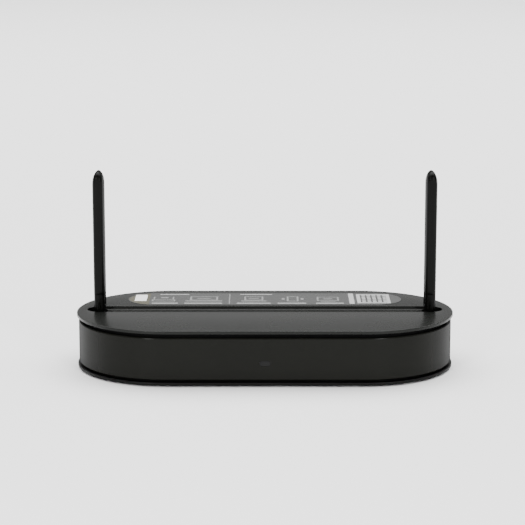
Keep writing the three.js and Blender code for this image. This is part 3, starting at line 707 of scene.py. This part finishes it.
def makeKnuckle(sideName):
    # loops in x and z, carried along y: an upright with a round bottom, which is cut level between the
    # fork's cheeks; its thickness follows the sleeve's oval, (1 - |y/wide|^n)^(1/n)
    shape = antennaShape
    sleeveLow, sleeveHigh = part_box(f"antenna_sleeve_{sideName}")
    pin = centreOf(f"hinge_pin_{sideName}")
    halfWidth = (sleeveHigh.y - sleeveLow.y) / 2
    radius = shape["knuckleRadius"]
    top = sleeveLow.z - shape["knuckleTop"]
    power = 2 / shape["square"]
    forkAngle = math.asin((shape["forkHalf"] / halfWidth) ** (1 / power))
    cheek = np.linspace(math.pi / 2, forkAngle, shape["cheekSteps"])
    angle = np.concatenate([-cheek, [-forkAngle, forkAngle], cheek[::-1]])
    stations = pin.y + halfWidth * np.sign(angle) * np.abs(np.sin(angle)) ** power
    size = np.maximum(np.abs(np.cos(angle)), 0.1 * mm) ** power
    bend = np.linspace(0, math.pi, 25)
    across = np.concatenate([[1], np.cos(bend), [-1]])
    drop = np.concatenate([[0], np.sin(bend), [0]])
    x = pin.x + radius * size[:, None] * across[None, :]
    z = pin.z - radius * size[:, None] * drop[None, :]
    z[:, [0, -1]] = top
    z[shape["cheekSteps"]:shape["cheekSteps"] + 2, 1:-1] = pin.z + shape["forkTop"]
    rows = np.stack([x, stations[:, None] + 0 * x, z], axis=-1)
    shell = Shell()
    shell.grid(rows)
    shell.build(f"knuckle_{sideName}", plastics["antenna"], f"antenna_{sideName}",
                [f"antenna_knuckle_{sideName}"], sharp=40)


for sideName in ("left", "right"):
    makeSleeve(sideName)
    makeKnuckle(sideName)
print("antennas made")


labelLook = {
    "film": (0.0315, 0.0325, 0.0315),
    "tint": (0.052, 0.047, 0.024),
    "ink": (0.34, 0.345, 0.34),
    "faintInk": (0.15, 0.153, 0.15),
    "sticker": (0.72, 0.72, 0.70),
    "sheet": 0.12 * mm,
    "print": 0.02 * mm,
    "stickerSheet": 0.1 * mm,
    "tintEdge": 0.8 * mm,
    "tintDegrees": (101, 259),
    "barCorner": 0.3 * mm,
}
# the print, in millimetres on the lid: bars as (left, right, middle, height) and outlines as
# (left, right, front, rear, line width)
labelPrint = {
    "headings": [(-72, -52, 48.2, 1.5), (-17, 5, 48.2, 1.5)],
    "captions": [(left, right, 20.6, 1.9) for left, right in
                 ((-76.5, -59), (-54.5, -29), (-19, 4), (8.6, 28), (34.6, 53.4))],
    "strip": (57.4, 60.8, 34.7, 32),
    "gridFrame": (62.8, 85.3, 20.7, 48.7, 2.4),
    "divider": (-24.4, -23.7, 34.5, 31),
    # a router, two laptops, a phone and a tablet
    "outlines": [(-77, -61, 26.5, 32, 1.1), (-51, -32, 30, 41.5, 1.2), (-14, -1, 30, 41.5, 1.2),
                 (15, 23, 26.5, 41.5, 1.2), (35.5, 50.5, 28, 40, 1.1)],
    "details": [(-76, -75, 36.5, 8), (-63, -62, 36.5, 8), (-71, -66, 38, 3), (-54, -29, 27.6, 2.4),
                (-46, -37, 35.6, 1.6), (-16, 1, 27.6, 2.4), (-11, -4, 35.6, 1.6), (11.5, 13.5, 34, 5),
                (24.5, 26.5, 34, 5), (40, 46, 34, 2), (38, 48, 25.6, 1.2)],
}
labelFilm = filmPaint("labelFilm", labelLook["film"], 0.3)
labelTint = filmPaint("labelTint", labelLook["tint"], 0.3)
labelInk = filmPaint("labelInk", labelLook["ink"], 0.4)
faintInk = filmPaint("faintInk", labelLook["faintInk"], 0.4)
stickerPaper = filmPaint("stickerPaper", labelLook["sticker"], 0.5)


def bar(left, right, middle, height):
    front, rear = (middle - height / 2) * mm, (middle + height / 2) * mm
    return [box2d(left * mm, right * mm, front, rear, labelLook["barCorner"])]


def outlineOf(left, right, front, rear, line, corner=0.6):
    outer = box2d(left * mm, right * mm, front * mm, rear * mm, corner * mm)
    inner = box2d((left + line) * mm, (right - line) * mm, (front + line) * mm, (rear - line) * mm,
                  corner / 2 * mm)
    return [outer, inner]


def makeLabel():
    low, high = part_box("setup_label")
    half = (high.y - low.y) / 2
    middleY = (high.y + low.y) / 2
    bottom = lidTop + 0.02 * mm
    top = bottom + labelLook["sheet"]
    inkTop = top + labelLook["print"]
    loop = pillLoop(high.x - half, half, middleY, 48)

    def sheet(name, loops, low, high, material, replaces=()):
        shell = Shell()
        for group in loops:
            shell.pierced([[(part, low), (part, high)] for part in group], rise)
        shell.build(name, material, replaces=replaces)

    sheet("labelSheet", [[loop]], bottom, top, labelFilm, replaces=["setup_label"])
    # tinted end: the part of the round end that lies beyond a straight cut
    turn = np.radians(np.linspace(*labelLook["tintDegrees"], 48))
    end = (half - labelLook["tintEdge"]) * np.stack([np.cos(turn), np.sin(turn)], axis=1)
    end = end + (-(high.x - half), middleY)
    sheet("labelEnd", [[end]], top, inkTop, labelTint)
    stickerLow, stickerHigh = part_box("key_sticker")
    sticker = box2d(stickerLow.x, stickerHigh.x, stickerLow.y, stickerHigh.y, 0.5 * mm)
    sheet("stickerSheet", [[sticker]], inkTop, inkTop + labelLook["stickerSheet"], stickerPaper,
          ["key_sticker"])

    # printed set-up steps: a heading bar, a picture and a caption bar for each, with no lettering
    bright = [bar(*place) for place in labelPrint["headings"] + labelPrint["captions"]]
    bright.append(bar(*labelPrint["strip"]))
    bright.append(outlineOf(*labelPrint["gridFrame"]))
    # the grid: five by five small tiles inside its frame
    for x in np.arange(67.5, 82, 3.6):
        for y in np.arange(25.5, 45, 4.6):
            bright.append([box2d((x - 1.2) * mm, (x + 1.2) * mm, (y - 1.5) * mm, (y + 1.5) * mm, 0.2 * mm)])
    faint = [bar(*place) for place in [labelPrint["divider"]] + labelPrint["details"]]
    faint += [outlineOf(*place) for place in labelPrint["outlines"]]
    sheet("labelPrint", bright, top, inkTop, labelInk)
    sheet("labelPictures", faint, top, inkTop, faintInk)


makeLabel()
print("label made")


portShape = {
    "gap": 0.3 * mm,
    "edge": 0.25 * mm,
    "mouthHalf": 5.9 * mm,
    "mouthLow": 3.6 * mm,
    "mouthHeight": 8.0 * mm,
    "mouthDepth": 13.5 * mm,
    "latchHalf": 3.2 * mm,
    "latchDrop": 1.4 * mm,
    "keyHalf": 1.8 * mm,
    "keyDrop": 2.6 * mm,
    "contactPitch": 1.02 * mm,
    "contactHalf": 0.22 * mm,
    "contactCount": 8,
    "contactThickness": 0.12 * mm,
    "lightOffset": 4.9 * mm,
    "lightHalf": 1.3 * mm,
    "lightLow": 0.7 * mm,
    "lightHigh": 2.3 * mm,
    "panelHoles": {"power_button": 4.0 * mm, "pair_button": 2.9 * mm},
    "inletRise": 6.2 * mm,
    "inletBore": 3.2 * mm,
    "inletWall": 0.6 * mm,
}
# a socket's contact in millimetres: how far behind the face, and how far below the mouth's roof
contactPath = ((1.6, 0.1), (2.4, 0.7), (8.5, 3.4), (10, 3.3), (13.4, 1.2))
jackNames = ["wan_jack"] + [f"lan_jack_{number}" for number in range(1, 5)]


def squareRound(node, gap):
    low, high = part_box(node)
    return box2d(low.x - gap, high.x + gap, low.z - gap, high.z + gap, 0.3 * mm)


def makePanel():
    shape = portShape
    gap, edge = shape["gap"], shape["edge"]
    face, back = panelHigh.y, panelLow.y
    outline = box2d(panelLow.x, panelHigh.x, panelLow.z, panelHigh.z, 0.5 * mm)
    rows = [(grown(outline, -edge), face), (outline, face - edge), (outline, back)]

    def opening(loop):
        return [(grown(loop, edge), face), (loop, face - edge), (loop, back)]

    lanLow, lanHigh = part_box("lan_jack_4")[0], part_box("lan_jack_1")[1]
    lan = box2d(lanLow.x - gap, lanHigh.x + gap, lanLow.z - gap, lanHigh.z + gap, 0.3 * mm)
    loops = [lan, squareRound("wan_jack", gap), squareRound("usb_port", gap)]
    for name, radius in shape["panelHoles"].items():
        centre = centreOf(name)
        loops.append(circle(radius, centre.x, centre.z))
    loops.append(circle(shape["inletBore"] + shape["inletWall"] + gap, *inletCentre()))
    shell = Shell()
    shell.pierced([rows] + [opening(loop) for loop in loops], toRear)
    shell.build("portPanel", plastics["base"], replaces=["port_panel"])


def inletCentre():
    low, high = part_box("power_inlet")
    return (low.x + high.x) / 2, low.z + portShape["inletRise"]


def makeJacks():
    shape = portShape
    lights = Shell()
    contacts = Shell()
    for name in jackNames:
        low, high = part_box(name)
        x = (low.x + high.x) / 2
        face = high.y
        body = box2d(low.x, high.x, low.z, high.z, 0.3 * mm)
        floor = low.z + shape["mouthLow"]
        wide, latchX, keyX = shape["mouthHalf"], shape["latchHalf"], shape["keyHalf"]
        latch, key = floor - shape["latchDrop"], floor - shape["keyDrop"]
        top = floor + shape["mouthHeight"]
        rightHalf = np.array([(keyX, key), (keyX, latch), (latchX, latch), (latchX, floor),
                              (wide, floor), (wide, top)])
        mouth = np.concatenate([rightHalf, (rightHalf * (-1, 1))[::-1]]) + (x, 0)
        shell = Shell()
        outline = [(grown(body, -0.2 * mm), face), (body, face - 0.2 * mm), (body, low.y)]
        hollow = [(grown(mouth, 0.15 * mm), face), (mouth, face - 0.25 * mm),
                  (mouth, face - shape["mouthDepth"])]
        shell.pierced([outline], toRear, [hollow])
        shell.build(f"{name}_housing", plastics["jack"], replaces=[name])
        # springs that slope in from the roof of the mouth
        path = (face, top) - np.array(contactPath) * mm
        for number in range(shape["contactCount"]):
            centre = x + (number - (shape["contactCount"] - 1) / 2) * shape["contactPitch"]
            ribbon(contacts, centre, path, shape["contactHalf"], shape["contactThickness"])
        for side in (-1, 1):
            lightX = x + side * shape["lightOffset"]
            lens = box2d(lightX - shape["lightHalf"], lightX + shape["lightHalf"],
                         low.z + shape["lightLow"], low.z + shape["lightHigh"], 0.3 * mm)
            rows = [(grown(lens, -0.15 * mm), face + 0.12 * mm), (lens, face), (lens, face - 1 * mm)]
            lights.pierced([rows], toRear)
    contacts.build("jackContacts", goldMetal)
    lights.build("jackLights", lampResin)


def ribbon(shell, x, path, half, thickness):
    # a flat strip along a path drawn in y and z: the section is offset by the path's normal
    tangent = np.gradient(path, axis=0)
    normal = np.stack([-tangent[:, 1], tangent[:, 0]], axis=1)
    normal *= thickness / np.linalg.norm(normal, axis=1)[:, None]
    above, below = path + normal, path - normal
    rows = np.stack([np.column_stack([np.full(len(path), x + dx), edge])
                     for dx, edge in ((-half, below), (half, below), (half, above), (-half, above))], axis=1)
    shell.grid(rows)
    for end in (0, -1):
        shell.add(rows[end], [(0, 1, 2, 3)])


usbShape = {
    "wall": 0.5 * mm,
    "floor": 2 * mm,
    "tongueSide": 1.3 * mm,
    "tongueDrop": (2.9 * mm, 1.1 * mm),
    "contactPlaces": (-3.5 * mm, -1.0 * mm, 1.0 * mm, 3.5 * mm),
    "contactHalf": 0.45 * mm,
    "contactReach": (10 * mm, 1.9 * mm),
}


def makeUsb():
    shape = usbShape
    low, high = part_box("usb_port")
    face = high.y
    back = low.y + shape["floor"]
    wall = shape["wall"]
    x0, x1, z0, z1 = low.x, high.x, low.z, high.z
    outer = box2d(x0, x1, z0, z1, 0.9 * mm)
    mouth = box2d(x0 + wall, x1 - wall, z0 + wall, z1 - wall, 0.6 * mm)
    shell = Shell()
    rows = [(grown(outer, -0.15 * mm), face), (outer, face - 0.2 * mm), (outer, low.y)]
    hollow = [(grown(mouth, 0.15 * mm), face), (mouth, face - 0.2 * mm), (mouth, back)]
    shell.pierced([rows], toRear, [hollow])
    shell.build("usbShell", shieldMetal, replaces=["usb_port"])
    tongue = Shell()
    level, roof = (z1 - drop for drop in shape["tongueDrop"])
    loop = box2d(x0 + shape["tongueSide"], x1 - shape["tongueSide"], level, roof, 0.2 * mm)
    rows = [(grown(loop, -0.2 * mm), face - 1.2 * mm), (loop, face - 1.5 * mm), (loop, back)]
    tongue.pierced([rows], toRear)
    tongue.build("usbTongue", plastics["jack"])
    contacts = Shell()
    half = shape["contactHalf"]
    inner, outer = (face - reach for reach in shape["contactReach"])
    for place in shape["contactPlaces"]:
        x = (x0 + x1) / 2 + place
        contacts.block((x - half, inner, level - 0.12 * mm), (x + half, outer, level + 0.05 * mm))
    contacts.build("usbContacts", goldMetal)


inletShape = {
    "depth": 9.5 * mm,
    "lip": 0.2 * mm,
    "rim": 0.3 * mm,
    "pinRadius": 1.0 * mm,
    "pinSunk": 1.5 * mm,
    "pinRound": 0.6 * mm,
    "springThickness": 0.3 * mm,
}


def makeInlet():
    shape = inletShape
    low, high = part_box("power_inlet")
    x, z = inletCentre()
    face = high.y
    bore = portShape["inletBore"]
    outer = bore + portShape["inletWall"]
    body = Shell()
    blockFace = panelLow.y - portShape["gap"]
    floor = face - shape["depth"]
    outline = box2d(low.x, high.x, low.z, high.z, 0.4 * mm)
    body.pierced([[(outline, low.y), (outline, blockFace)]], toRear)
    rim, lip = shape["rim"], shape["lip"]
    profile = [(outer, blockFace - 1 * mm), (outer, face - rim), (outer - rim, face),
               (bore + lip, face), (bore, face - lip), (bore, floor)]
    body.turned(profile, toRear, x, z, 48, closed=False)
    body.face([circle(bore, x, z)], toRear, floor)
    body.build("inletBody", plastics["chip"], replaces=["power_inlet"])
    # the round-nosed pin, and the spring sleeve round the bore
    pin = Shell()
    radius, nose = shape["pinRadius"], shape["pinRound"]
    noseStart = face - shape["pinSunk"] - nose
    profile = [(radius, floor + 0.1 * mm), (radius, noseStart)]
    profile += [(radius - inset, height) for inset, height in quarter(nose, noseStart, nose, 0, 88)]
    pin.turned(profile, toRear, x, z, 32)
    sleeve = bore - 0.05 * mm
    sleeveInner = sleeve - shape["springThickness"]
    sleeveFloor = floor + 0.5 * mm
    spring = [(sleeve, sleeveFloor), (sleeve, face - 1.2 * mm), (sleeveInner, face - 1.4 * mm),
              (sleeveInner, sleeveFloor), (sleeve, sleeveFloor)]
    pin.turned(spring, toRear, x, z, 48, closed=False)
    pin.build("inletPin", steel)


buttonShape = {
    "flange": 1.9 * mm,
    "rimRound": 0.45 * mm,
    "dishShare": 0.86,
    "dishDepth": 0.25 * mm,
    "markShare": 0.36,
    "markSunk": 0.16 * mm,
    "markFloor": 0.4 * mm,
}


def makeButton(node, radius, mark):
    # a turned cap: flange, stem, a rounded rim and a shallow dished face, with a ring printed on it; mark is
    # half the ring's gap in degrees, and a ring with a gap has a stroke in it
    shape = buttonShape
    low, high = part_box(node)
    x, z = centreOf(node).x, centreOf(node).z
    face = high.y
    flange = (high.x - low.x) / 2
    rim, edge = shape["rimRound"], shape["dishShare"]
    stem = low.y + shape["flange"]
    profile = [(flange, low.y), (flange, stem), (radius, stem)]
    profile += [(radius - inset, height) for inset, height in quarter(rim, face - rim, rim, 0, 90)]
    for share in np.linspace(edge, 0.02, 8):
        profile.append((radius * share, face - shape["dishDepth"] * (1 - (share / edge) ** 2)))
    shell = Shell()
    shell.turned(profile, toRear, x, z, 64)
    shell.build(f"{node}_cap", plastics["button"], node, [node])
    ring = Shell()
    turn = np.linspace(math.radians(mark), math.radians(360 - mark), 33) + math.pi / 2
    size = radius * shape["markShare"]
    surface, floor = face - shape["markSunk"], face - shape["markFloor"]
    arcs = [np.stack([x - reach * np.cos(turn), z + reach * np.sin(turn)], axis=1)
            for reach in (size, size * 0.78)]
    loop = np.concatenate([arcs[0], arcs[1][::-1]])
    ring.pierced([[(loop, surface), (loop, floor)]], toRear)
    if mark:
        stroke = box2d(x - size * 0.11, x + size * 0.11, z + size * 0.25, z + size * 1.15, 0.05 * mm)
        ring.pierced([[(stroke, surface), (stroke, floor)]], toRear)
    ring.build(f"{node}_mark", markInk, node)


def makePortMarks():
    # small pictures printed over the sockets: a ring and dot for the wide network, an open box for each
    # local socket, and a line and dot for the USB port
    shell = Shell()
    face = panelHigh.y
    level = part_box("wan_jack")[1].z + 2.4 * mm

    def stamp(loops):
        shell.pierced([[(loop, face + 0.03 * mm), (loop, face - 0.05 * mm)] for loop in loops], toRear)

    x = centreOf("wan_jack").x
    stamp([circle(1.3 * mm, x, level, 32), circle(1.0 * mm, x, level, 32)])
    stamp([circle(0.45 * mm, x, level, 20)])
    for number in range(1, 5):
        x = centreOf(f"lan_jack_{number}").x
        stamp([box2d(x - 1.2 * mm, x + 1.2 * mm, level - 0.9 * mm, level + 0.9 * mm, 0.2 * mm),
               box2d(x - 0.9 * mm, x + 0.9 * mm, level - 0.6 * mm, level + 0.6 * mm, 0.1 * mm)])
    x = centreOf("usb_port").x
    stamp([box2d(x - 1.6 * mm, x + 1.6 * mm, level - 0.15 * mm, level + 0.15 * mm, 0.05 * mm)])
    stamp([circle(0.4 * mm, x + 1.9 * mm, level, 20)])
    shell.build("portMarks", markInk)


markInk = filmPaint("markInk", (0.32, 0.33, 0.33), 0.45)
makePanel()
makeJacks()
makeUsb()
makeInlet()
makeButton("power_button", 3.7 * mm, 28)
makeButton("pair_button", 2.6 * mm, 0)
makePortMarks()
print("ports made")


finishOfSlot = {
    "lid_plastic": plastics["lid"], "band_plastic": plastics["band"], "inner_plastic": plastics["inner"],
    "base_plastic": plastics["base"], "antenna_plastic": plastics["antenna"], "label_film": labelFilm,
    "sticker_paper": stickerPaper, "foot_rubber": rubber, "board_laminate": boardMask,
    "chip_plastic": plastics["chip"], "screw_steel": steel, "shield_metal": shieldMetal,
    "sink_aluminium": sinkMetal, "jack_plastic": plastics["jack"], "pad_silicone": padSilicone,
    "lamp_resin": lampResin, "window_resin": smoked, "lead_jacket": jacket,
    "button_plastic": plastics["button"],
}
for part in frame["record"]["subparts"]:
    node = frame["nodes"][part["node"]]
    node.data.materials.clear()
    node.data.materials.append(finishOfSlot[part["material_slot"]])
print("carried-over pieces finished")


studio = {
    "worldRear": 0.5,
    "worldFront": 0.10,
    "worldTurn": 0.6,
    "floorSize": 30,
    "floorColor": (0.86, 0.86, 0.86),
    "softboxSize": (6.0, 5.0),
    "softboxPlace": (0, 1.7, 3.2),
    "softboxAim": (0, 1.7, 0),
    "softboxPower": 600,
    "keyPower": 14,
    "keySize": (0.22, 0.8),
    "keyAngle": 26,
    "keyHeight": 20,
    "keyDistance": 1.5,
    "keyAim": (0, 0, 0.02),
}


def makeFloor():
    bpy.ops.mesh.primitive_plane_add(size=studio["floorSize"], location=(0, 0, 0))
    floor = bpy.context.object
    floor.name = "floor"
    paint = Paint("floorPaint", specular=0.2)
    cloud = paint.noise(1.2, 2.0, 0.5)
    base = studio["floorColor"]
    color = paint.blend(cloud, tuple(value * 0.985 for value in base), base)
    floor.data.materials.append(paint.set(color=color, roughness=0.7))


def makeWorld():
    # a white sky that is brighter behind the router than in front of it
    world = bpy.data.worlds.new("studioWorld")
    bpy.context.scene.world = world
    world.use_nodes = True
    tree = world.node_tree
    background = tree.nodes["Background"]
    place = tree.nodes.new("ShaderNodeTexCoord")
    split = tree.nodes.new("ShaderNodeSeparateXYZ")
    tree.links.new(place.outputs["Generated"], split.inputs[0])
    ramp = tree.nodes.new("ShaderNodeMapRange")
    ramp.inputs["From Min"].default_value = -studio["worldTurn"]
    ramp.inputs["From Max"].default_value = studio["worldTurn"]
    ramp.inputs["To Min"].default_value = studio["worldFront"]
    ramp.inputs["To Max"].default_value = studio["worldRear"]
    tree.links.new(split.outputs["Y"], ramp.inputs["Value"])
    tree.links.new(ramp.outputs[0], background.inputs["Strength"])
    background.inputs["Color"].default_value = (1, 1, 1, 1)


def areaLight(name, place, aim, size, power):
    data = bpy.data.lights.new(name, "AREA")
    data.shape = "RECTANGLE"
    data.size, data.size_y = size
    data.energy = power
    light = bpy.data.objects.new(name, data)
    bpy.context.scene.collection.objects.link(light)
    light.location = place
    light.rotation_euler = (aim - place).to_track_quat("-Z", "Y").to_euler()


cameraView = {
    "distance": 1.3,
    "height": 0.33258,
    "pitch": 0.1999,
    "sensor": 36,
    "lens": 137.1497,
    "offsetX": -0.00158,
}


def makeCamera():
    data = bpy.data.cameras.new("camera")
    camera = bpy.data.objects.new("camera", data)
    bpy.context.scene.collection.objects.link(camera)
    data.sensor_width = cameraView["sensor"]
    data.lens = cameraView["lens"]
    camera.location = (cameraView["offsetX"], -cameraView["distance"], cameraView["height"])
    camera.rotation_euler = (math.pi / 2 - cameraView["pitch"], 0, 0)
    data.clip_start, data.clip_end = 0.05, 60
    bpy.context.scene.camera = camera


def makeLights():
    # one wide softbox over the rear, and two narrow strips in front, one to each side
    areaLight("softbox", Vector(studio["softboxPlace"]), Vector(studio["softboxAim"]), studio["softboxSize"],
              studio["softboxPower"])
    angle, height = math.radians(studio["keyAngle"]), math.radians(studio["keyHeight"])
    for side in (-1, 1):
        away = Vector((side * math.sin(angle) * math.cos(height), -math.cos(angle) * math.cos(height),
                       math.sin(height)))
        areaLight(f"strip_{side}", away * studio["keyDistance"], Vector(studio["keyAim"]), studio["keySize"],
                  studio["keyPower"])


makeFloor()
makeWorld()
makeLights()
makeCamera()
print("studio ready")
